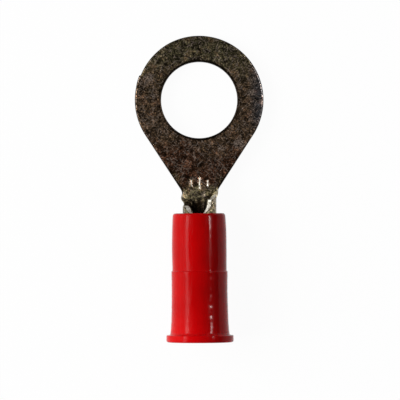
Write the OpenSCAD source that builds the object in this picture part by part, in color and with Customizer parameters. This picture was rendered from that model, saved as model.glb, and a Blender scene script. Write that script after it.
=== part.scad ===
// Insulated ring terminal, lying with its long axis along Y.
// A tinned copper terminal, stamped from one sheet and rolled into a wire barrel, carries a
// moulded insulating sleeve that is pressed over the barrel and opens into a flanged funnel.
// The origin is the stud hole's centre on the tongue's underside. The wire enters towards +Y.

/* [Tongue] */
// Diameter of the stud hole
stud_hole_d = 6.8; // [5.3:0.1:7.2]
// Width of the terminal across the ring
ring_d = 11.5; // [10.6:0.1:14]
// Thickness of the sheet that the terminal is stamped from
sheet_t = 0.8; // [0.6:0.05:1]
// Angle between each flank and the long axis
flank_angle = 33; // [28:0.2:38]
// Width of the neck, before it curls
neck_w = 3; // [2.6:0.02:3.4]
// Radius of the corner between flank and neck
neck_fillet_r = 1.2; // [0.6:0.1:2]
// Radius that blanking rolls onto the upper edges
edge_roll = 0.15; // [0.06:0.01:0.2]
// Chamfer that is left on the lower edges
edge_break = 0.05; // [0.02:0.01:0.1]

/* [Strip cut-off] */
// Depth of the step that the cut-off left on the ring's edge
cutoff_depth = 0.13; // [0.05:0.01:0.3]
// Angle at which the step begins, from +X
cutoff_to = 157; // [140:1:165]
// Angle that it runs back over before it fades out
cutoff_span = 42; // [20:1:60]

/* [Stamped strokes] */
// Number of plain strokes stamped above the neck
stroke_count = 3; // [1:1:5]
// Length of the outer strokes
stroke_len = 0.75; // [0.4:0.05:1.2]
// Extra length of the middle stroke
stroke_extra = 0.45; // [0:0.05:0.8]
// Width of a stroke
stroke_w = 0.17; // [0.1:0.01:0.25]
// Distance between strokes
stroke_pitch = 0.72; // [0.4:0.02:0.9]
// Depth of a stroke
stroke_depth = 0.08; // [0.04:0.01:0.15]
// Distance from the strokes' centre to the corner between flank and neck
stroke_setback = 0.85; // [0.7:0.05:1.6]

/* [Wire barrel] */
// Bore of the barrel
barrel_bore_d = 1.7; // [1.3:0.05:2.4]
// Distance from the corner between flank and neck to the closed barrel
curl_len = 1.7; // [1.65:0.05:2.4]
// Length of the +X shoulder, from its front to the closed barrel
shoulder_len = 1.3; // [0.9:0.05:1.35]
// How much shorter the -X shoulder is
shoulder_lag = 0.7; // [0:0.05:0.7]
// Depth of the notch in front of the -X shoulder
notch_depth = 0.4; // [0:0.05:0.5]
// Length of the closed barrel
barrel_len = 4.95; // [4:0.05:7]
// Gap between the butted edges of the barrel
seam_gap = 0.08; // [0.04:0.01:0.2]
// Chamfer at the barrel's rear edges
barrel_chamfer = 0.12; // [0.05:0.01:0.2]

/* [Sleeve outside] */
// Length of closed barrel that shows in front of the sleeve
barrel_show = 0.15; // [0:0.02:0.6]
// Wall of the sleeve over the barrel
sleeve_wall = 0.74; // [0.5:0.01:1.2]
// Radius that the draft takes off at the front
front_draft = 0.05; // [0:0.01:0.1]
// Radius on the sleeve's front edge
front_round = 0.22; // [0.08:0.01:0.35]
// Length of the front part, up to the step
front_len = 5.15; // [4.95:0.05:7]
// Height of the step
step_h = 0.07; // [0.04:0.005:0.2]
// Length of the rear part, between step and flange
rear_len = 5.7; // [4.5:0.05:9]
// Length over which the rear part flares out
flare_len = 2.4; // [1:0.1:3]
// Radius gained by that flare
flare_h = 0.12; // [0.05:0.01:0.3]
// Height of the flange above the flare
flange_h = 0.42; // [0.2:0.01:0.8]
// Thickness of the flange
flange_t = 0.65; // [0.45:0.01:1]
// Radius on the flange's edges
flange_round = 0.14; // [0.05:0.01:0.2]
// Radius between the rear part and the flange
flange_fillet = 0.12; // [0.05:0.01:0.2]

/* [Sleeve inside] */
// Gap between the barrel's end and the stop inside the sleeve
stop_gap = 0.04; // [0.02:0.01:0.1]
// How much wider the throat's radius is than the barrel's bore
throat_clear = 0.2; // [0.16:0.01:0.3]
// Length of the throat
throat_len = 0.3; // [0.2:0.05:0.6]
// Length of the funnel
funnel_len = 1.5; // [1:0.05:2.2]
// Wall of the sleeve around the wire's insulation
support_wall = 0.52; // [0.4:0.01:0.65]
// Radius on the rim of the mouth
mouth_round = 0.42; // [0.2:0.01:0.45]

/* [Hidden] */

$fn = 96;
roll_steps = 4;     // flats that make up a rolled edge
arc_steps = 8;      // flats that make up a moulded radius
curl_stations = 24; // cross-sections along the curl
curl_steps = 36;    // flats across the curl
cross_angle = 1.5;  // angle at which a flank crosses the ring's edge, for a clean joint
lap = 0.006;        // how far the curl's two ends lie inside the tongue and the barrel
spill = 1;          // how far a cutter runs past what it cuts
clear_angle = 5;    // how far the cut-off's cutter reaches past the point where it fades out
shoulder_rise = 0.4; // power by which a shoulder rises: under 1 is steep first
notch_run = 0.45;   // length over which the notch in front of a shoulder deepens

hole_r = stud_hole_d / 2;
ring_r = ring_d / 2;
barrel_r = barrel_bore_d / 2 + sheet_t;
mid_r = barrel_r - sheet_t / 2;

// Distances along the terminal are counted from the hole's centre towards the wire.
flank_offset = ring_r * cos(cross_angle);
corner_at = (flank_offset - neck_w / 2 * cos(flank_angle)) / sin(flank_angle);
corner_reach = neck_fillet_r * tan(flank_angle / 2);
fillet_from = corner_at - corner_reach * cos(flank_angle);
fillet_to = corner_at + corner_reach;
tongue_end = fillet_from - 0.05;
barrel_at = corner_at + curl_len;
bend_end = barrel_at - shoulder_len + 0.05;
barrel_end = barrel_at + barrel_len;

sleeve_at = barrel_at + barrel_show;
step_at = sleeve_at + front_len;
flange_at = step_at + rear_len;
sleeve_end = flange_at + flange_t;
front_r = barrel_r + sleeve_wall;
rear_r = front_r + step_h;
flare_r = rear_r + flare_h;
flange_r = flare_r + flange_h;
stop_at = barrel_end + stop_gap;
throat_r = barrel_bore_d / 2 + throat_clear;
support_r = rear_r - support_wall;

function arc(cx, cy, r, from, to, steps) =
    [for (i = [0:steps]) let (a = from + (to - from) * i / steps) [cx + r * cos(a), cy + r * sin(a)]];
function ease(x) = let (c = min(max(x, 0), 1)) c * c * (3 - 2 * c);

// A stamped edge, from the underside up: [distance in from the outline, height].
edge_points = concat(
    [[edge_break, 0]],
    [[0, edge_break]],
    [for (i = [0:roll_steps]) let (a = 90 * i / roll_steps)
        [edge_roll * (1 - cos(a)), sheet_t - edge_roll * (1 - sin(a))]]);

// Section of the sheet, from a plain end at x = from out to an edge at x = to.
module sheet_section(from, to) {
    polygon(concat([[from, 0]], [for (p = edge_points) [to - p[0], p[1]]], [[from, sheet_t]]));
}

// Things drawn along Z point towards the wire once they are turned by this.
module along_wire() {
    rotate([90, 0, 0]) children();
}

// Things that turn about the barrel's axis, drawn about Z.
module about_barrel() {
    translate([0, 0, barrel_r]) along_wire() children();
}

// Everything on the inner side of one flank.
module flank_side() {
    rotate([0, 0, -flank_angle]) along_wire() linear_extrude(2 * tongue_end)
        sheet_section(-2 * tongue_end, flank_offset);
}

// The flat part: a ring and a taper, cut off square where the curl begins.
module tongue() {
    intersection() {
        union() {
            rotate_extrude() sheet_section(0, ring_r);
            intersection() {
                flank_side();
                mirror([1, 0, 0]) flank_side();
            }
        }
        translate([-2 * ring_r, -tongue_end, -spill])
            cube([4 * ring_r, 4 * ring_r, sheet_t + 2 * spill]);
    }
}

module stud_hole() {
    rotate_extrude() polygon(concat(
        [[0, -spill], [hole_r + edge_break + spill, -spill]],
        [for (p = edge_points) [hole_r + p[0], p[1]]],
        [[hole_r + edge_roll, sheet_t + spill], [0, sheet_t + spill]]));
}

// What the strip cut-off took from the ring's edge: everything outside a circle that is
// shifted so that it meets the edge where the step fades out.
module cutoff_step() {
    fade_at = cutoff_to - cutoff_span;
    shift = cutoff_depth / sin(cutoff_span);
    side = ring_r + spill;
    far = side + ring_r;
    clear_at = fade_at - clear_angle;
    intersection() {
        difference() {
            translate([0, 0, -spill]) cylinder(r = side, h = sheet_t + 2 * spill);
            translate([-shift * cos(fade_at + 90), -shift * sin(fade_at + 90), -2 * spill])
                cylinder(r = ring_r, h = sheet_t + 4 * spill);
        }
        translate([0, 0, -spill]) linear_extrude(sheet_t + 2 * spill)
            polygon([[0, 0],
                far * [cos(clear_at), sin(clear_at)],
                far * [cos(cutoff_to), sin(cutoff_to)]]);
    }
}

// Plain strokes, sunk into the upper face across the neck's root.
module strokes() {
    for (i = [0:stroke_count - 1]) {
        offset_x = (i - (stroke_count - 1) / 2) * stroke_pitch;
        run = (offset_x == 0 ? stroke_len + stroke_extra : stroke_len) - stroke_w;
        translate([offset_x, stroke_setback - corner_at, sheet_t - stroke_depth])
            linear_extrude(stroke_depth + spill) {
                square([stroke_w, run], center = true);
                for (end = [-1, 1])
                    translate([0, end * run / 2]) circle(d = stroke_w);
            }
    }
}

// The curl is the sheet between the flat tongue and the closed barrel. It is one surface swept
// through cross-sections. Each is a strip of the sheet, bent about the long axis by its own
// curvature. The strip narrows to the neck and then widens, shoulder by shoulder, to the
// barrel's full turn.
full_half = PI * mid_r - seam_gap / 2;

function flank_half(at) = (flank_offset - at * sin(flank_angle)) / cos(flank_angle);
function neck_half(at) =
    at < fillet_from ? flank_half(at) :
    at < fillet_to ? neck_w / 2 + neck_fillet_r - sqrt(pow(neck_fillet_r, 2) - pow(fillet_to - at, 2)) :
    neck_w / 2;
function strip_half(at, from, notch) =
    let (waist = neck_half(at) - notch * ease((at - from) / notch_run + 1),
        rise = pow(min(max((at - from) / (barrel_at - from), 0), 1), shoulder_rise))
    waist + (full_half - waist) * rise - lap;

// A point x across and z up in the flat strip, once the strip is bent.
function bend_share(at) = ease((at - tongue_end) / (bend_end - tongue_end));
function bent(x, z, share) =
    let (curve = share / (barrel_r - lap), mid = (sheet_t - 2 * lap) / 2)
    curve < 0.0001 ? [x, z + lap] :
    let (r = 1 / curve, a = x / (r - mid) * 180 / PI)
    [(r - z) * sin(a), lap + r - (r - z) * cos(a)];

// A strip's outline, anticlockwise from its lower -X corner, then bent.
function curl_section(at) =
    let (t = sheet_t - 2 * lap,
        edge = [for (p = edge_points) [p[0], p[1] / sheet_t * t]],
        m = len(edge) - 1,
        right = strip_half(at, barrel_at - shoulder_len, 0),
        left = strip_half(at, barrel_at - shoulder_len + shoulder_lag, notch_depth),
        low = [-left + edge[0][0], right - edge[0][0]],
        top = [-left + edge[m][0], right - edge[m][0]],
        flat = concat(
            [for (i = [0:curl_steps]) [low[0] + (low[1] - low[0]) * i / curl_steps, 0]],
            [for (i = [1:m - 1]) [right - edge[i][0], edge[i][1]]],
            [for (i = [0:curl_steps]) [top[1] + (top[0] - top[1]) * i / curl_steps, t]],
            [for (i = [m - 1:-1:1]) [-left + edge[i][0], edge[i][1]]]))
    [for (p = flat) let (b = bent(p[0], p[1], bend_share(at))) [b[0], -at, b[1]]];

module curl() {
    from = tongue_end - 0.03;
    to = barrel_at + 0.03;
    stations = [for (i = [0:curl_stations]) from + (to - from) * i / curl_stations];
    rings = [for (at = stations) curl_section(at)];
    n = len(rings[0]);
    last = curl_stations * n;
    top_at = n / 2;
    walls = [for (k = [0:curl_stations - 1]) for (j = [0:n - 1])
        let (a = k * n + j, b = k * n + (j + 1) % n)
        each [[b, a, b + n], [b + n, a, a + n]]];
    cap = concat(
        [for (j = [0:curl_steps - 1]) [j, j + 1, top_at + curl_steps - j - 1, top_at + curl_steps - j]],
        [[for (j = [curl_steps:top_at]) j]],
        [concat([for (j = [top_at + curl_steps:n - 1]) j], [0])]);
    polyhedron(
        points = [for (ring = rings) each ring],
        faces = concat(
            walls,
            cap,
            [for (f = cap) [for (j = [len(f) - 1:-1:0]) f[j] + last]]));
}

module barrel_tube() {
    gap_angle = seam_gap / mid_r * 180 / PI;
    inner = barrel_bore_d / 2;
    about_barrel()
        rotate_extrude(angle = 360 - gap_angle, start = 90 + gap_angle / 2)
            polygon([
                [inner, barrel_at],
                [barrel_r, barrel_at],
                [barrel_r, barrel_end - barrel_chamfer],
                [barrel_r - barrel_chamfer, barrel_end],
                [inner + barrel_chamfer, barrel_end],
                [inner, barrel_end - barrel_chamfer]]);
}

module tinned_terminal() {
    color([0.24, 0.19, 0.14])
        difference() {
            union() {
                tongue();
                curl();
                barrel_tube();
            }
            stud_hole();
            cutoff_step();
            strokes();
        }
}

// The sleeve's outside, from its front face to the flange's rear face: [radius, place].
flare_bend = (flare_len * flare_len + flare_h * flare_h) / (2 * flare_h);
flare_angle = asin(flare_len / flare_bend);
outside = concat(
    arc(front_r - front_draft - front_round, sleeve_at + front_round, front_round, -90, 0, arc_steps),
    [[front_r, step_at]],
    [[rear_r, step_at + step_h]],
    arc(rear_r + flare_bend, flange_at - flare_len, flare_bend, 180, 180 - flare_angle, arc_steps),
    arc(flare_r + flange_fillet, flange_at - flange_fillet, flange_fillet, 180, 90, arc_steps),
    arc(flange_r - flange_round, flange_at + flange_round, flange_round, -90, 0, arc_steps),
    arc(flange_r - flange_round, sleeve_end - flange_round, flange_round, 0, 90, arc_steps));

// The sleeve's inside, from the mouth back to the front face.
inside = concat(
    arc(support_r + mouth_round, sleeve_end - mouth_round, mouth_round, 90, 180, arc_steps),
    [[support_r, stop_at + throat_len + funnel_len]],
    [[throat_r, stop_at + throat_len]],
    [[throat_r, stop_at]],
    [[barrel_r, stop_at]],
    [[barrel_r, sleeve_at]]);

module insulating_sleeve() {
    color([0.7, 0.02, 0.03])
        about_barrel() rotate_extrude() polygon(concat(outside, inside));
}

tinned_terminal();
insulating_sleeve();
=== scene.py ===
"""Looks for the insulated ring terminal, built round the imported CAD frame."""

import math

import bpy
import numpy as np
from mathutils import Euler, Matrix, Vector
from mathutils.geometry import delaunay_2d_cdt
from mathutils.kdtree import KDTree


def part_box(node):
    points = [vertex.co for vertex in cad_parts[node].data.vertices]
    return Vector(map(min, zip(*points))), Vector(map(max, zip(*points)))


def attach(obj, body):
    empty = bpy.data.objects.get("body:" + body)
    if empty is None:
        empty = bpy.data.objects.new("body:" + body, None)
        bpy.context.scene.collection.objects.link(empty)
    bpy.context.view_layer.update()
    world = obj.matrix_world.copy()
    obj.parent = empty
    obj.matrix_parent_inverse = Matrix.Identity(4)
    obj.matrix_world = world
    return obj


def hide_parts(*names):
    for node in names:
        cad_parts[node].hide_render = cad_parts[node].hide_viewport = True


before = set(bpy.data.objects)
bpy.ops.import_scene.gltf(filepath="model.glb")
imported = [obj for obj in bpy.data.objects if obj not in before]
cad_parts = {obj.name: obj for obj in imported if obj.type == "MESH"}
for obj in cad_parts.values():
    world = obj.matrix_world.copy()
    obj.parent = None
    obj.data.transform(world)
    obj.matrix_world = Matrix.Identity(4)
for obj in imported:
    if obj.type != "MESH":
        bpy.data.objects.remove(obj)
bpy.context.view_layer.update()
scene = bpy.context.scene
MM = 0.001

# ---------------------------------------------------------------- sizes, in mm
low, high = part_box("tinned_terminal")
sleeve_low, sleeve_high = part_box("insulating_sleeve")
RING_R = high[0] / MM                     # ring's outer radius
SHEET = 0.8
HOLE_R = 3.4
FLANK = math.radians(33)                  # lean of the tongue's flanks
NECK_HALF = 1.55
FILLET = 0.9
AXIS_Z = (sleeve_low[2] + sleeve_high[2]) / 2 / MM
BARREL_R = 1.5                            # the crimp barrel, as drawn in
MID_R = BARREL_R - SHEET / 2
ROLL = 0.17                               # die roll on the upper edges
BURR = 0.05                               # height of the burr on the lower edges
RIM = 0.3                                 # width of the painted shade along the sheared edges, a darker band that stands in for their dark reflection

# distances towards the wire, from the stud hole
BEND_SKEW = 0.13                          # the right-hand side turns up a little sooner
BEND_FROM, BEND_TO = 8.0, 9.05            # where the flat tongue turns into the barrel
CLOSED_FROM = 10.4                        # where the barrel's edges meet, under the sleeve
BARREL_TO = -low[1] / MM
SLEEVE_FROM = -sleeve_high[1] / MM
SLEEVE_TO = -sleeve_low[1] / MM
FLANGE_R = sleeve_high[0] / MM

CORNER = (RING_R - NECK_HALF * math.cos(FLANK)) / math.sin(FLANK)
FILLET_FROM = CORNER - FILLET * math.tan(FLANK / 2) * math.cos(FLANK)
FILLET_TO = CORNER + FILLET * math.tan(FLANK / 2)
FULL_HALF = math.pi * MID_R - 0.03        # half of the blank that closes into the barrel
WING_RUN = 0.32                           # length over which a wing stands up
CLOSING_POWER = 2.6                       # how late the standing wings draw together
NOTCH_RUN = 0.35                          # length over which the notch before a wing deepens
WING_FROM = {1: 8.62, -1: 9.3}            # where each side's wing starts to stand up
WING_HALF = {1: 2.45, -1: 2.2}            # the blank's half width once it has
WING_NOTCH = {1: 0.0, -1: 0.16}           # how far the neck narrows just before it

# the step that the strip cut-off left in the ring's outline
STEP_FROM, STEP_AT, STEP_TO = 118, 157, 170     # degrees round the ring
STEP_IN, STEP_OUT = 0.075, 0.03           # how far in the outline lies before it, and out after it
STEP_FADE = 8                             # degrees over which it fades out again


def ease(x):
    x = min(max(x, 0.0), 1.0)
    return x * x * (3 - 2 * x)


def new_piece(name, coords, faces):
    """A smooth-shaded object in the scene, from points in metres and faces."""
    mesh = bpy.data.meshes.new(name)
    mesh.from_pydata(coords, [], faces)
    mesh.validate()
    mesh.shade_smooth()
    ob = bpy.data.objects.new(name, mesh)
    scene.collection.objects.link(ob)
    return ob


# ---------------------------------------------------------------- the stamped blank
def strip_half(d, side):
    """Half width of the flat blank at distance d towards the wire."""
    if d < FILLET_FROM:
        w = (RING_R - d * math.sin(FLANK)) / math.cos(FLANK)
    elif d < FILLET_TO:
        w = NECK_HALF + FILLET - math.sqrt(FILLET ** 2 - (FILLET_TO - d) ** 2)
    else:
        w = NECK_HALF
    start = WING_FROM[side]
    w -= WING_NOTCH[side] * ease((d - start) / NOTCH_RUN + 1)
    w += (WING_HALF[side] - w) * ease((d - start) / WING_RUN)
    closing = min(max((d - start) / (CLOSED_FROM - start), 0.0), 1.0) ** CLOSING_POWER
    return w + (FULL_HALF - w) * closing


def ring_radius(deg):
    """The ring's outline at an angle in degrees."""
    if STEP_FROM < deg <= STEP_AT:
        return RING_R - STEP_IN * (deg - STEP_FROM) / (STEP_AT - STEP_FROM)
    if STEP_AT < deg < STEP_TO:
        return RING_R + STEP_OUT * ease((STEP_TO - deg) / STEP_FADE)
    return RING_R


def resample(points, step):
    """Points at about that spacing along a closed loop, with its corners kept."""
    out = []
    n = len(points)
    for i in range(n):
        a, b = np.array(points[i]), np.array(points[(i + 1) % n])
        k = max(1, int(round(np.linalg.norm(b - a) / step)))
        out += [tuple(a + (b - a) * j / k) for j in range(k)]
    return out


def side_places(side):
    """Distances at which one side of the blank gets a point, closer where it turns up."""
    start = WING_FROM[side]
    return np.concatenate([
        np.arange(RING_R * math.sin(FLANK) + 0.05, 7.5, 0.08),
        np.arange(7.5, start - 0.02, 0.04),
        start + (CLOSED_FROM - start) * np.linspace(0, 1, 60)[:-1] ** 2.2,
        np.arange(CLOSED_FROM, BARREL_TO - 0.02, 0.1),
        [BARREL_TO]])


def blank_outline():
    """The flat blank's outline, anticlockwise from the right-hand flank."""
    lean = math.degrees(FLANK)
    before_step = np.linspace(-lean, STEP_AT - 0.2, 420)
    after_step = np.linspace(STEP_AT + 0.4, 180 + lean, 120)
    points = []
    for deg in np.concatenate([before_step, after_step]):
        a, r = math.radians(deg), ring_radius(deg)
        points.append((r * math.cos(a), r * math.sin(a)))
    points += [(-strip_half(d, -1), -d) for d in side_places(-1)]
    points += [(strip_half(d, 1), -d) for d in side_places(1)[::-1]]
    return resample(points, 0.07)


STROKES = [(-0.72, 0.75), (0.0, 1.2), (0.72, 0.75)]      # plain strokes near the neck: (x, length)
STROKE_Y = -7.4
STROKE_HALF = 0.12                        # half the width of a stroke
STROKE_DEEP = 0.085
STROKE_LIP = 0.012                        # height of the lip pushed up round a stroke


def stroke_depth(x, y):
    """Depth sunk by the stamped strokes, and the low lip pushed up round them."""
    z = 0.0
    for sx, length in STROKES:
        run = max(0.0, abs(y - STROKE_Y) - length / 2 + STROKE_HALF)
        d = math.hypot(x - sx, run)
        if d < STROKE_HALF:
            z += STROKE_DEEP * (1 - ease(d / STROKE_HALF))
        elif d < 2 * STROKE_HALF:
            z -= STROKE_LIP * math.sin(math.pi * (d / STROKE_HALF - 1))
    return z


def bend_share(x, y):
    """How far the sheet is bent at a place: 0 in the tongue, 1 in the barrel."""
    return ease((BEND_SKEW * x - y - BEND_FROM) / (BEND_TO - BEND_FROM))


def bend(x, y, z):
    """Rolls the blank's rear end up into the barrel, and lifts it to the sleeve's axis."""
    share = bend_share(x, y)
    if share < 1e-4:
        return x, y, z
    r = BARREL_R / share
    a = x / (r - SHEET / 2)
    lift = (AXIS_Z - BARREL_R) * share
    return (r - z) * math.sin(a), y, lift + r - (r - z) * math.cos(a)


def roll_drop(d):
    """How far the upper face falls at distance d from the outline."""
    return 0.0 if d >= ROLL else ROLL - math.sqrt(max(ROLL ** 2 - (ROLL - d) ** 2, 0.0))


# ---------------------------------------------------------------- the blank's mesh
EDGE_ROWS = (0.012, 0.035, 0.07, 0.115, ROLL, ROLL + 0.05)     # rows of points along the edges
WALL_LEVELS = (0.52, 0.34, 0.17)          # rows of points down the sheared wall
# the grid inside, finer where the sheet bends: (from y, to y, spacing)
GRID_BANDS = [(-6.2, 6, 0.22), (-7.6, -6.2, 0.11), (-10.6, -7.6, 0.085), (-15, -10.6, 0.13)]
GRID_REACH = 5.9
STAMPED_X, STAMPED_Y = 1.02, 0.82         # half the size of the finest patch, round the strokes


def edge_finder(loops):
    """A function that gives the distance from a place to the nearest edge."""
    dense = np.concatenate([resample(loop, 0.012) for loop in loops])
    tree = KDTree(len(dense))
    for i, (x, y) in enumerate(dense):
        tree.insert((x, y, 0), i)
    tree.balance()
    return lambda x, y: tree.find((x, y, 0))[2]


def inside(points, outline):
    """Which of the points lie on the sheet: within the outline and outside the stud hole."""
    x, y = points[:, 0], points[:, 1]
    hit = np.zeros(len(points), bool)
    x0, y0 = outline[:, 0], outline[:, 1]
    x1, y1 = np.roll(x0, -1), np.roll(y0, -1)
    for a, b, c, d in zip(x0, y0, x1, y1):
        if b != d:
            hit ^= ((b > y) != (d > y)) & (x < (c - a) * (y - b) / (d - b) + a)
    return hit & (x * x + y * y > HOLE_R ** 2)


def edge_rows(loops, on_sheet, edge_distance):
    """Rows of points that follow the edges, so that the rolled edge is even."""
    rows = []
    for loop, inwards in zip(loops, (1, -1)):
        p = np.array(loop)
        run = np.roll(p, -1, 0) - np.roll(p, 1, 0)
        run /= np.linalg.norm(run, axis=1)[:, None]
        normal = np.stack([-run[:, 1], run[:, 0]], 1) * inwards
        for away in EDGE_ROWS:
            rows += [(x, y, away) for x, y in p + normal * away]
    rows = np.array(rows)
    keep = on_sheet(rows[:, :2])
    return [(x, y) for (x, y, away), k in zip(rows, keep)
            if k and abs(edge_distance(x, y) - away) < 0.004]


def inner_grid(on_sheet, edge_distance):
    """Staggered points over the rest of the sheet, and a finer patch round the strokes."""
    grid = []
    for y0, y1, step in GRID_BANDS:
        count = int((y1 - y0) / (step * 0.87))
        for j in range(count):
            y = y0 + (j + 0.5) * (y1 - y0) / count
            grid += [(x, y) for x in np.arange(-GRID_REACH + (j % 2) * step / 2, GRID_REACH, step)]
    grid = np.array(grid)
    near = (abs(grid[:, 0]) < STAMPED_X) & (abs(grid[:, 1] - STROKE_Y) < STAMPED_Y)
    fine = np.meshgrid(np.arange(0.01 - STAMPED_X, STAMPED_X, 0.028),
                       np.arange(STROKE_Y + 0.01 - STAMPED_Y, STROKE_Y + STAMPED_Y, 0.032))
    grid = np.concatenate([grid[~near], np.stack([f.ravel() for f in fine], 1)])
    return [(x, y) for x, y in grid[on_sheet(grid)] if edge_distance(x, y) > ROLL + 0.09]


def mesh_blank():
    """The flat blank: its points, its triangles, its two edges as point numbers, and each
    point's distance from the nearest edge."""
    hole = [(HOLE_R * math.cos(t), HOLE_R * math.sin(t)) for t in np.radians(np.arange(0, 360, 1.2))]
    loops = [blank_outline(), hole]
    outline = np.array(loops[0])
    edge_distance = edge_finder(loops)

    def on_sheet(points):
        return inside(points, outline)

    points, edges = [], []
    for loop in loops:
        first, count = len(points), len(loop)
        points += loop
        edges += [(first + k, first + (k + 1) % count) for k in range(count)]
    points += edge_rows(loops, on_sheet, edge_distance) + inner_grid(on_sheet, edge_distance)
    cut = delaunay_2d_cdt([Vector(p) for p in points], edges, [], 0, 1e-7, False)
    places = np.array([(v.x, v.y) for v in cut[0]])
    triangles = np.array([f[:] for f in cut[2] if len(f) == 3])
    triangles = triangles[on_sheet(places[triangles].mean(1))]

    # the points may have been numbered anew, so the edges are found again by place
    finder = KDTree(len(places))
    for k, (x, y) in enumerate(places):
        finder.insert((x, y, 0), k)
    finder.balance()
    rims = [[finder.find((x, y, 0))[1] for x, y in loop] for loop in loops]
    away = np.array([edge_distance(x, y) for x, y in places])
    for rim in rims:
        away[rim] = 0.0
    return places, triangles, rims, away


class Sheet:
    """The bent sheet's points, each with the marks that the material reads."""

    def __init__(self):
        self.coords = []
        self.marks = {"rim": [], "bore": [], "stamp": [], "curl": [], "wing": []}

    def point(self, x, y, z, away, **marks):
        """Adds a place on the flat blank and returns its number."""
        flat = 1 - bend_share(x, y - 0.3)
        # the rim mark masks the painted shade along the edges
        marks["rim"] = max(0.0, 1 - away / RIM) * flat
        marks["bore"] = float(math.hypot(x, y) < HOLE_R + RIM)
        for name, values in self.marks.items():
            values.append(marks.get(name, 0.0))
        self.coords.append(bend(x, y, z))
        return len(self.coords) - 1

    def faces_of_sheet(self, places, away):
        """Adds the upper face's points and then the underside's, in the same order."""
        for (x, y), d in zip(places, away):
            sunk = stroke_depth(x, y)
            self.point(x, y, SHEET - roll_drop(d) - sunk, d, curl=bend_share(x, y),
                       stamp=min(1.0, max(0.0, sunk / STROKE_DEEP)))
        for (x, y), d in zip(places, away):
            self.point(x, y, BURR * max(0.0, 1 - d / BURR), d)

    def wall_point(self, x, y, z):
        """Adds a place on the sheared wall. The wings' walls are painted near-white as a painted
        highlight, and the rest gets the painted trough shade.
        """
        torn = ease((-y - WING_FROM[-1]) / 0.2) if x < 0 else 1.0
        share = bend_share(x, y)
        return self.point(x, y, z, 0.0, wing=torn * share, curl=(1 - torn) * min(1.0, 1.6 * share))


def build_terminal():
    places, triangles, (outline, hole), away = mesh_blank()
    under = len(places)
    sheet = Sheet()
    sheet.faces_of_sheet(places, away)
    faces = [tuple(t) for t in triangles]
    faces += [(t[2] + under, t[1] + under, t[0] + under) for t in triangles]
    for rim, turned in ((outline, True), (hole, False)):
        rows = [rim]
        for level in WALL_LEVELS:
            rows.append([sheet.wall_point(*places[k], level) for k in rim])
        rows.append([k + under for k in rim])
        for upper, lower in zip(rows, rows[1:]):
            for k in range(len(rim)):
                m = (k + 1) % len(rim)
                quad = (upper[k], upper[m], lower[m], lower[k])
                faces.append(quad[::-1] if turned else quad)

    used = sorted({k for f in faces for k in f})
    number = {k: i for i, k in enumerate(used)}
    coords = [tuple(c * MM for c in sheet.coords[k]) for k in used]
    terminal = new_piece("ring_tongue", coords, [tuple(number[k] for k in f) for f in faces])
    for name, values in sheet.marks.items():
        layer = terminal.data.attributes.new(name, "FLOAT", "POINT")
        layer.data.foreach_set("value", [values[k] for k in used])
    return terminal


# ---------------------------------------------------------------- the moulded sleeve
def arc(cx, cy, r, start, end, count):
    """Points along an arc, from one angle in degrees to another."""
    angles = [math.radians(start + (end - start) * i / count) for i in range(count + 1)]
    return [(cx + r * math.cos(a), cy + r * math.sin(a)) for a in angles]


def spread(points, step):
    """Adds points along the long straight runs of an open profile."""
    out = [points[0]]
    for a, b in zip(points, points[1:]):
        k = max(1, int(math.hypot(b[0] - a[0], b[1] - a[1]) / step))
        out += [(a[0] + (b[0] - a[0]) * j / k, a[1] + (b[1] - a[1]) * j / k) for j in range(1, k + 1)]
    return out


def smooth_run(knots, count):
    """Evenly spaced points along a gently curved run given by a few (distance, radius) knots."""
    along = np.linspace(knots[0][0], knots[-1][0], count)
    radius = np.interp(along, [k[0] for k in knots], [k[1] for k in knots])
    for _ in range(6):
        radius[1:-1] = (radius[:-2] + 2 * radius[1:-1] + radius[2:]) / 4
    return list(zip(radius.tolist(), along.tolist()))


# the skin in front of the step and behind it: (distance, radius)
FRONT_BODY = [(10.35, 2.352), (10.7, 2.378), (11.5, 2.413), (12.4, 2.432), (13.4, 2.443),
              (14.4, 2.437), (15.17, 2.425)]
REAR_BODY = [(15.36, 2.51), (15.8, 2.505), (16.4, 2.497), (17.1, 2.494), (18.0, 2.503), (19.0, 2.52),
             (19.7, 2.545), (20.2, 2.572), (20.6, 2.61), (20.82, 2.64)]
STEP_EDGE = [(15.2, 2.428), (15.222, 2.436), (15.248, 2.47), (15.27, 2.5), (15.3, 2.513)]
FRONT_R, FRONT_ROUND = 2.345, 0.24        # the front end and its rounded edge
FLANGE_T = 0.65
FOOT_R, FOOT_ROUND = 2.65, 0.13           # the small fillet at the flange's foot
FOOT_TO = 2.84
LIP_FRONT, LIP_REAR = 0.11, 0.17          # rounding of the flange's two edges
MOUTH_R = 1.94
MOUTH_ROUND = 0.42
FUNNEL_TO = 16.75                         # where the funnel ends, behind the throat
THROAT_TO = 15.25
STOP_AT = 14.94                           # the stop behind the barrel's end
STOP_R = 1.05
BORE_R = BARREL_R + 0.01
LEAN = 0.05                               # the moulding sits a little askew on the barrel
SKIN_FROM = 2.2                           # radius from which a point is on the outside


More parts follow.
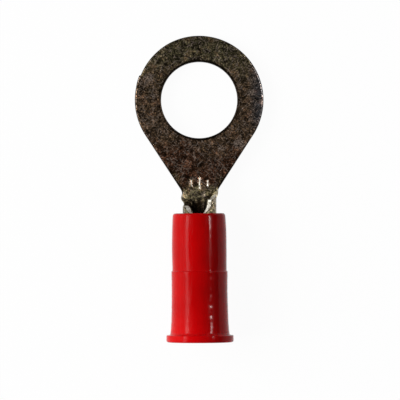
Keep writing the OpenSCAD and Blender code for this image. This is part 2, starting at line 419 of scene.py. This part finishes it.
def sleeve_profile():
    """The moulding's section as (radius, distance) points: the outside, then back through the bore."""
    front, rear = SLEEVE_FROM, SLEEVE_TO
    flange = rear - FLANGE_T
    skin = arc(FRONT_R - FRONT_ROUND, front + FRONT_ROUND, FRONT_ROUND, -90, 0, 12)
    skin += smooth_run(FRONT_BODY, 56)
    skin += [(r, d) for d, r in STEP_EDGE]
    skin += smooth_run(REAR_BODY, 64)
    skin += arc(FOOT_R + FOOT_ROUND, flange - FOOT_ROUND, FOOT_ROUND, 180, 95, 6)
    skin += [(FOOT_TO, flange)]
    skin += arc(FLANGE_R - LIP_FRONT, flange + LIP_FRONT, LIP_FRONT, -90, 0, 7)
    skin += [(FLANGE_R, flange + 0.3)]
    skin += arc(FLANGE_R - LIP_REAR, rear - LIP_REAR, LIP_REAR, 0, 90, 9)
    skin += arc(MOUTH_R + MOUTH_ROUND, rear - MOUTH_ROUND, MOUTH_ROUND, 90, 180, 10)
    funnel = [(MOUTH_R, rear - MOUTH_ROUND - 0.02), (MOUTH_R, FUNNEL_TO), (STOP_R, THROAT_TO),
              (STOP_R, STOP_AT), (BARREL_R, STOP_AT)]
    bore = [(BORE_R, STOP_AT), (BORE_R, front + 0.05)]
    return skin + spread(funnel, 0.3) + spread(bore, 0.5) + [(BARREL_R + 0.05, front + 0.004)]


def ripple(a, d):
    """Small unevenness of the moulded skin, which breaks up the long highlights."""
    inner = ease((d - SLEEVE_FROM - 0.2) / 0.5) * ease((SLEEVE_TO - 0.9 - d) / 0.5)
    rear = ease((d - 15.4) / 0.3)
    wave = 0.005 * math.sin(2 * a + 0.9 * d) + 0.003 * math.sin(5 * a - 1.7 * d + 1.0)
    wave += rear * (0.0036 * math.sin(7.1 * d + 2 * a) + 0.0022 * math.sin(12.7 * d - 3 * a + 0.7))
    wave += (1 - rear) * 0.0012 * math.sin(5.3 * d + 7 * a)
    return inner * wave


def build_sleeve():
    profile = sleeve_profile()
    sides = 160
    rings = len(profile)
    coords, faces = [], []
    for r, d in profile:
        on_skin = r > SKIN_FROM
        lean = -LEAN * (SLEEVE_TO - d) / (SLEEVE_TO - SLEEVE_FROM) if on_skin else 0.0
        for j in range(sides):
            a = 2 * math.pi * j / sides
            radius = r + ripple(a, d) if on_skin else r
            coords.append(((lean + radius * math.sin(a)) * MM, -d * MM,
                           (AXIS_Z + radius * math.cos(a)) * MM))
    for i in range(rings):
        this, following = i * sides, (i + 1) % rings * sides
        for j in range(sides):
            k = (j + 1) % sides
            faces.append((this + j, this + k, following + k, following + j))
    return new_piece("sleeve_moulding", coords, faces)


# ---------------------------------------------------------------- node helpers
class Nodes:
    """A material's node tree, built by short calls. A socket or a number may be given for any value."""

    def __init__(self, name):
        self.material = bpy.data.materials.new(name)
        self.material.use_nodes = True
        self.tree = self.material.node_tree
        self.tree.nodes.clear()
        self.object_place = None

    def add(self, kind):
        return self.tree.nodes.new("ShaderNode" + kind)

    def put(self, socket, value):
        if isinstance(value, bpy.types.NodeSocket):
            self.tree.links.new(value, socket)
        elif isinstance(value, tuple) and len(value) == 3 and socket.type == "RGBA":
            socket.default_value = (*value, 1)
        else:
            socket.default_value = value

    def surface(self, kind):
        shader = self.add(kind)
        self.put(self.add("OutputMaterial").inputs[0], shader.outputs[0])
        return shader

    def math(self, op, a, b=0.0):
        node = self.add("Math")
        node.operation = op
        self.put(node.inputs[0], a)
        self.put(node.inputs[1], b)
        return node.outputs[0]

    def largest(self, values):
        first = values[0]
        for value in values[1:]:
            first = self.math("MAXIMUM", first, value)
        return first

    def times(self, first, *rest):
        for value in rest:
            first = self.math("MULTIPLY", first, value)
        return first

    def plus(self, first, *rest):
        for value in rest:
            first = self.math("ADD", first, value)
        return first

    def step(self, value, start, end, low=0.0, high=1.0):
        """Eases from low to high while the value goes from start to end."""
        node = self.add("MapRange")
        node.interpolation_type = "SMOOTHSTEP"
        for socket, v in zip(node.inputs, (value, start, end, low, high)):
            self.put(socket, v)
        return node.outputs[0]

    def mix(self, share, a, b):
        node = self.add("Mix")
        node.data_type = "RGBA"
        self.put(node.inputs[0], share)
        self.put(node.inputs[6], a)
        self.put(node.inputs[7], b)
        return node.outputs[2]

    def scale(self, colour, value):
        node = self.add("VectorMath")
        node.operation = "SCALE"
        self.put(node.inputs[0], colour)
        self.put(node.inputs["Scale"], value)
        return node.outputs[0]

    def place(self, stretch=(1, 1, 1), turn=0.0, shift=0.0):
        """Object coordinates in mm, moved, turned about Z and then drawn out."""
        if self.object_place is None:
            self.object_place = self.add("TexCoord").outputs["Object"]
        node = self.add("Mapping")
        node.vector_type = "TEXTURE"
        node.inputs["Location"].default_value = (shift * MM, 1.7 * shift * MM, 0)
        node.inputs["Rotation"].default_value = (0, 0, math.radians(turn))
        node.inputs["Scale"].default_value = [s * MM for s in stretch]
        self.put(node.inputs["Vector"], self.object_place)
        return node.outputs[0]

    def axes(self, vector):
        node = self.add("SeparateXYZ")
        self.put(node.inputs[0], vector)
        return node.outputs

    def noise(self, vector, scale, detail=2.0, rough=0.55):
        node = self.add("TexNoise")
        self.put(node.inputs["Vector"], vector)
        self.put(node.inputs["Scale"], scale)
        self.put(node.inputs["Detail"], detail)
        self.put(node.inputs["Roughness"], rough)
        return node.outputs["Fac"]

    def spot(self, x, y, radius, ragged):
        """1 in a soft-edged spot round a place on the sheet, in mm; ragged is a noise that frays it."""
        node = self.add("VectorMath")
        node.operation = "DISTANCE"
        self.put(node.inputs[0], self.place())
        self.put(node.inputs[1], (x, y, SHEET))
        away = self.plus(self.times(node.outputs["Value"], 1 / radius), self.times(ragged, 1.6), -0.8)
        return self.step(away, 1.0, 0.45)

    def attribute(self, name):
        node = self.add("Attribute")
        node.attribute_name = name
        return node.outputs["Fac"]

    def bump(self, height, strength, distance, normal=None):
        node = self.add("Bump")
        self.put(node.inputs["Height"], height)
        self.put(node.inputs["Strength"], strength)
        self.put(node.inputs["Distance"], distance)
        if normal is not None:
            self.put(node.inputs["Normal"], normal)
        return node.outputs[0]


def srgb(*levels):
    """A colour as linear light, from its 0 to 255 levels."""
    return tuple(v / 255 / 12.92 if v <= 10 else ((v / 255 + 0.055) / 1.055) ** 2.4 for v in levels)


# ---------------------------------------------------------------- materials
# the plate's browns are painted reflection: they stand in for the dark surroundings that the bright tin
# plating reflects, and the olive, brown and slate shifts among them are tarnish tints
OLIVE = srgb(114, 106, 78)
UMBER = srgb(118, 96, 74)
RUSSET = srgb(100, 68, 50)
SLATE = srgb(98, 100, 106)
WORN = srgb(212, 190, 174)
# near-white fresh metal, used for the painted glints on the strokes and the wings' sheared ends
BARE_AND_GLINT = srgb(240, 234, 220)
# dark pits, and the colour of the painted shade along the edges and in the trough
DARK_PIT_AND_SHADE = srgb(30, 23, 16)
# the nylon's reds, in linear light: two that cloud together, and the thin flared end's brighter red,
# which is painted light
DEEP_RED = (0.38, 0.0001, 0.0005)
RED = (0.43, 0.0002, 0.0008)
FLARE_RED = (0.5, 0.0003, 0.0012)
TONE_GAIN = 12.0                          # how strongly the plate is mottled

# scratches: (direction in degrees, length to width, fineness, threshold, shift)
SCRATCHES = [(38, 8, 7.5, 0.67, 3), (-50, 10, 8.5, 0.67, 9), (4, 7, 8.0, 0.7, 17), (76, 8, 8.0, 0.7, 29),
             (58, 4, 9.0, 0.64, 51), (-28, 4, 9.5, 0.64, 63)]
# rubbed hatch marks: (x, y, radius, direction, pitch)
HATCHES = [(1.4, -6.2, 0.9, -52, 0.3), (-4.2, -1.9, 0.7, 36, 0.28), (-0.9, -3.9, 0.5, 40, 0.25)]
# paler worn patches: (x, y, radius)
WORN_SPOTS = [(-4.5, 1.95, 0.62), (3.5, -3.9, 0.6), (-4.1, 0.4, 0.3), (1.9, -4.3, 0.35), (4.6, 0.6, 0.4),
              (0.35, -8.45, 0.35)]


class PlateNoise:
    """The places and noises, from coarse to fine, that the plate's features share."""

    def __init__(self, n):
        plain = n.place()
        self.x, self.y, _ = n.axes(plain)
        self.blotch = n.noise(plain, 0.55, 3, 0.6)
        self.mottle = n.noise(plain, 1.5, 3, 0.6)
        self.grain = n.noise(plain, 3.4, 2, 0.6)
        self.speck = n.noise(plain, 7.5, 1, 0.5)
        self.ragged = n.noise(plain, 1.1, 2)
        self.sheen = n.noise(plain, 2.6, 3, 0.6)


def plate_hue(n, f):
    """Drifts from olive at the ring's far side to red-brown in the web, and cold along one edge."""
    along = n.plus(f.y, n.times(f.blotch, 7.0), -3.5)
    hue = n.mix(n.step(along, 0.6, 4.2), UMBER, OLIVE)
    hue = n.mix(n.step(along, -3.0, -5.4), hue, RUSSET)
    hue = n.mix(n.step(along, -6.4, -8.4), hue, OLIVE)
    hue = n.mix(n.times(n.step(f.x, 4.2, 5.3), n.step(f.y, -3.5, -1.5), 0.8), hue, SLATE)
    return n.mix(n.step(f.mottle, 0.52, 0.66, 0.0, 0.5), hue, RUSSET)


def plate_tone(n, f):
    """Mottling, and painted light: paler across the neck, where the bending sheet reflects more light.
    """
    level = n.plus(n.times(f.mottle, 0.4), n.times(f.grain, 0.25), n.times(f.speck, 0.5), -0.6)
    # painted light: this mask lightens the band where the sheet starts to bend
    neck = n.times(n.step(n.plus(f.y, n.times(f.mottle, 0.8)), -7.1, -7.7),
                   n.step(n.plus(f.y, f.mottle), -8.7, -8.2))
    return n.times(n.math("EXPONENT", n.times(level, TONE_GAIN)), n.plus(n.times(neck, 1.3), 1.0))


def pits_and_flecks(n, base):
    pits = n.noise(n.place((1, 1.6, 1), 30, 11), 4.2, 2)
    base = n.mix(n.step(pits, 0.43, 0.35, 0.0, 0.85), base, DARK_PIT_AND_SHADE)
    flecks = n.noise(n.place(shift=7), 5.5, 1)
    return n.mix(n.step(flecks, 0.66, 0.74, 0.0, 0.5), base, WORN)


def scratches(n):
    streaks = []
    for turn, length, scale, threshold, shift in SCRATCHES:
        streak = n.noise(n.place((length, 1, 1), turn, shift), scale, 1, 0.4)
        streaks.append(n.step(streak, threshold, threshold + 0.07))
    return n.largest(streaks)


def hatching(n, f):
    """Patches of short parallel rubs."""
    patches = []
    for x, y, radius, turn, pitch in HATCHES:
        across = n.axes(n.place(turn=turn))[1]
        bars = n.math("SINE", n.plus(n.times(across, 2 * math.pi / pitch), n.times(f.mottle, 5.0)))
        patches.append(n.times(n.step(bars, -0.2, 0.9), n.spot(x, y, radius, f.blotch)))
    return n.largest(patches)


def worn_patches(n, f, base):
    for x, y, radius in WORN_SPOTS:
        share = n.times(n.spot(x, y, radius, f.grain), n.step(f.speck, 0.4, 0.58))
        base = n.mix(n.times(share, 0.8), base, WORN)
    return base


def painted_edge_shade(n, f, base):
    """Painted shade: dark bands along the sheared edges, wide round the hole and on the lower flanks,
    standing in for the dark reflection of the rolled edges.
    """
    reach = n.plus(n.times(n.attribute("bore"), 0.4), n.times(n.step(f.y, -5.0, -6.6), 0.3), 0.3)
    reach = n.times(reach, n.plus(n.times(f.ragged, 1.2), 0.4))
    band = n.plus(n.attribute("rim"), reach, -1.0)
    return n.mix(n.step(band, -0.04, 0.1, 0.0, 0.95), base, DARK_PIT_AND_SHADE)


def painted_trough_shade(n, f, base):
    # painted shade: darkens the inside of the rolled barrel and the trough before it, where shade falls
    frayed = n.plus(n.attribute("curl"), n.times(n.math("SUBTRACT", f.mottle, 0.5), 1.2))
    return n.mix(n.times(n.step(frayed, 0.55, 0.85), 0.9), base, DARK_PIT_AND_SHADE)


def metal_material():
    n = Nodes("tin_plate_painted_dark_reflection")
    bsdf = n.surface("BsdfPrincipled")
    f = PlateNoise(n)
    # painted reflection: the dark base colour stands in for the dark surroundings the bright tin
    # reflects
    base = n.scale(plate_hue(n, f), plate_tone(n, f))
    base = pits_and_flecks(n, base)
    scratch, hatch = scratches(n), hatching(n, f)
    base = n.mix(n.times(scratch, 0.5), base, WORN)
    base = n.mix(n.times(hatch, n.step(f.grain, 0.4, 0.6, 0.1, 0.4)), base, WORN)
    base = worn_patches(n, f, base)
    base = painted_edge_shade(n, f, base)
    base = painted_trough_shade(n, f, base)

    # painted highlights: the stamped strokes and the wings' sheared ends are painted near-white fresh
    # metal, and the wing ends are made less metallic, so that they show the glints they catch
    stroke_glint = n.times(n.step(n.attribute("stamp"), 0.15, 0.6), n.step(f.grain, 0.36, 0.5, 0.25, 0.95))
    wing_glint = n.times(n.step(n.attribute("wing"), 0.5, 0.9), n.step(f.mottle, 0.36, 0.46, 0.3, 1.0))
    base = n.mix(n.math("MAXIMUM", stroke_glint, wing_glint), base, BARE_AND_GLINT)
    n.put(bsdf.inputs["Metallic"], n.math("SUBTRACT", 1.0, n.times(wing_glint, 0.8)))
    n.put(bsdf.inputs["Base Color"], base)
    n.put(bsdf.inputs["Roughness"], n.step(f.sheen, 0.3, 0.7, 0.24, 0.42))
    height = n.plus(n.times(f.speck, 0.35), n.times(f.grain, 0.8), n.times(f.mottle, 0.7),
                    n.times(scratch, -0.12), n.times(hatch, -0.15))
    n.put(bsdf.inputs["Normal"], n.bump(height, 1.0, 0.026 * MM))
    return n.material


def sleeve_material():
    n = Nodes("red_moulded_nylon")
    bsdf = n.surface("BsdfPrincipled")
    bsdf.inputs["IOR"].default_value = 1.5
    bsdf.inputs["Specular IOR Level"].default_value = 0.08
    plain = n.place()
    _, y, _ = n.axes(plain)
    cloud = n.noise(plain, 0.5, 3, 0.5)
    base = n.mix(n.step(cloud, 0.3, 0.7), DEEP_RED, RED)
    # painted light: the flared end is painted a brighter red, standing in for the extra light it shows
    base = n.mix(n.step(y, -18.4, -21.2), base, FLARE_RED)
    n.put(bsdf.inputs["Base Color"], base)
    fine = n.noise(n.place((1, 6, 1)), 3.2, 3, 0.6)
    n.put(bsdf.inputs["Roughness"], n.step(fine, 0.35, 0.65, 0.08, 0.2))
    skin = n.bump(fine, 0.5, 0.005 * MM)
    n.put(bsdf.inputs["Normal"], n.bump(n.noise(plain, 1.4, 2, 0.5), 0.5, 0.02 * MM, skin))
    return n.material


terminal = build_terminal()
terminal.data.materials.append(metal_material())
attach(terminal, "root")
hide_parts("tinned_terminal")

sleeve = build_sleeve()
sleeve.data.materials.append(sleeve_material())
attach(sleeve, "root")
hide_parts("insulating_sleeve")


# ---------------------------------------------------------------- floor, backdrop and light
def pale_material(share):
    """A pale surface whose camera, glossy and transmission rays see mostly plain white."""
    n = Nodes("pale_floor")
    mix = n.surface("MixShader")
    diffuse = n.add("BsdfDiffuse")
    diffuse.inputs["Color"].default_value = (0.9, 0.9, 0.9, 1)
    glow = n.add("Emission")
    path = n.add("LightPath").outputs
    seen = n.largest([path["Is Camera Ray"], path["Is Glossy Ray"], path["Is Transmission Ray"]])
    n.put(mix.inputs[0], n.times(seen, share))
    n.put(mix.inputs[1], diffuse.outputs[0])
    n.put(mix.inputs[2], glow.outputs[0])
    return n.material


FLOOR_WHITE = 0.96                        # how much of what the camera sees of the floor is plain white
FLOOR_REACH, FLOOR_CURB = 1.2, 0.12       # half the floor's width and the curb's height, in metres
FLOOR_GAP = 0.02                          # how far the floor clears the part, in mm


def build_floor():
    """A wide floor with a low curb, on which the part rests by its flange and the ring's far edge."""
    corners = [(x * FLOOR_REACH, y * FLOOR_REACH) for x, y in ((-1, -1), (1, -1), (1, 1), (-1, 1))]
    curb_faces = [(i, i + 4, (i + 1) % 4 + 4, (i + 1) % 4) for i in range(4)]
    mesh = bpy.data.meshes.new("floor")
    mesh.from_pydata([(x, y, z) for z in (0, FLOOR_CURB) for x, y in corners], [],
                     [(0, 1, 2, 3), *curb_faces])
    mesh.materials.append(pale_material(FLOOR_WHITE))
    ob = bpy.data.objects.new("floor", mesh)
    scene.collection.objects.link(ob)
    ob.rotation_euler = (math.atan2(-sleeve_low[2], high[1] - sleeve_low[1]), 0, 0)
    ob.location = (0, high[1], -FLOOR_GAP * MM)


MIDDLE = Vector((0, -8 * MM, 1 * MM))     # what the lamps face
LAMP_AWAY = 0.5                           # in metres


def lamp(name, side, zenith, along, width, height, radiance, glossy=True, diffuse=True):
    """A soft lamp to one side (1 right, -1 left), by its angle from overhead in degrees.

    Its place along the part and its size are in metres; its width runs along the part.
    """
    angle = math.radians(zenith)
    light = bpy.data.lights.new(name, "AREA")
    light.shape = "RECTANGLE"
    light.size = width
    light.size_y = height
    light.energy = radiance * math.pi * width * height
    ob = bpy.data.objects.new(name, light)
    scene.collection.objects.link(ob)
    ob.location = (side * LAMP_AWAY * math.sin(angle), along, LAMP_AWAY * math.cos(angle))
    ob.rotation_euler = (ob.location - MIDDLE).to_track_quat("Z", "Y").to_euler()
    ob.visible_glossy = glossy
    ob.visible_diffuse = diffuse
    ob.visible_camera = False


build_floor()
lamp("key", -1, 52, 0.05, 0.5, 0.12, 4.6)
lamp("key_wing", -1, 74, 0.05, 0.5, 0.24, 1.0)
lamp("fill", -1, 52, 0.0, 0.4, 0.4, 4.9, glossy=False)
lamp("key_strip", -1, 52, 0.085, 0.15, 0.1, 5.0, diffuse=False)
lamp("rim_strip", 1, 46, 0.085, 0.15, 0.06, 40.0, diffuse=False)

SKY_GREY = 0.16
world = bpy.data.worlds.new("studio")
scene.world = world
world.use_nodes = True
sky = world.node_tree.nodes["Background"]
sky.inputs["Color"].default_value = (SKY_GREY, SKY_GREY, SKY_GREY, 1)
sky.inputs["Strength"].default_value = 1.0

# ---------------------------------------------------------------- camera, straight above
VIEW_WIDTH = 35.7 * MM
CAMERA_UP = 450 * MM
CAMERA_AT = (0.043 * MM, -8.92 * MM)
CAMERA_ROLL = -0.21                       # degrees
camera = bpy.data.objects.new("camera", bpy.data.cameras.new("camera"))
scene.collection.objects.link(camera)
camera.data.sensor_width = 36
camera.data.lens = 36 * CAMERA_UP / VIEW_WIDTH
camera.data.clip_start = 0.01
camera.data.clip_end = 10
camera.location = (*CAMERA_AT, CAMERA_UP + SHEET * MM)
camera.rotation_euler = Euler((0, 0, math.radians(CAMERA_ROLL)))
scene.camera = camera
scene.view_settings.view_transform = "Standard"
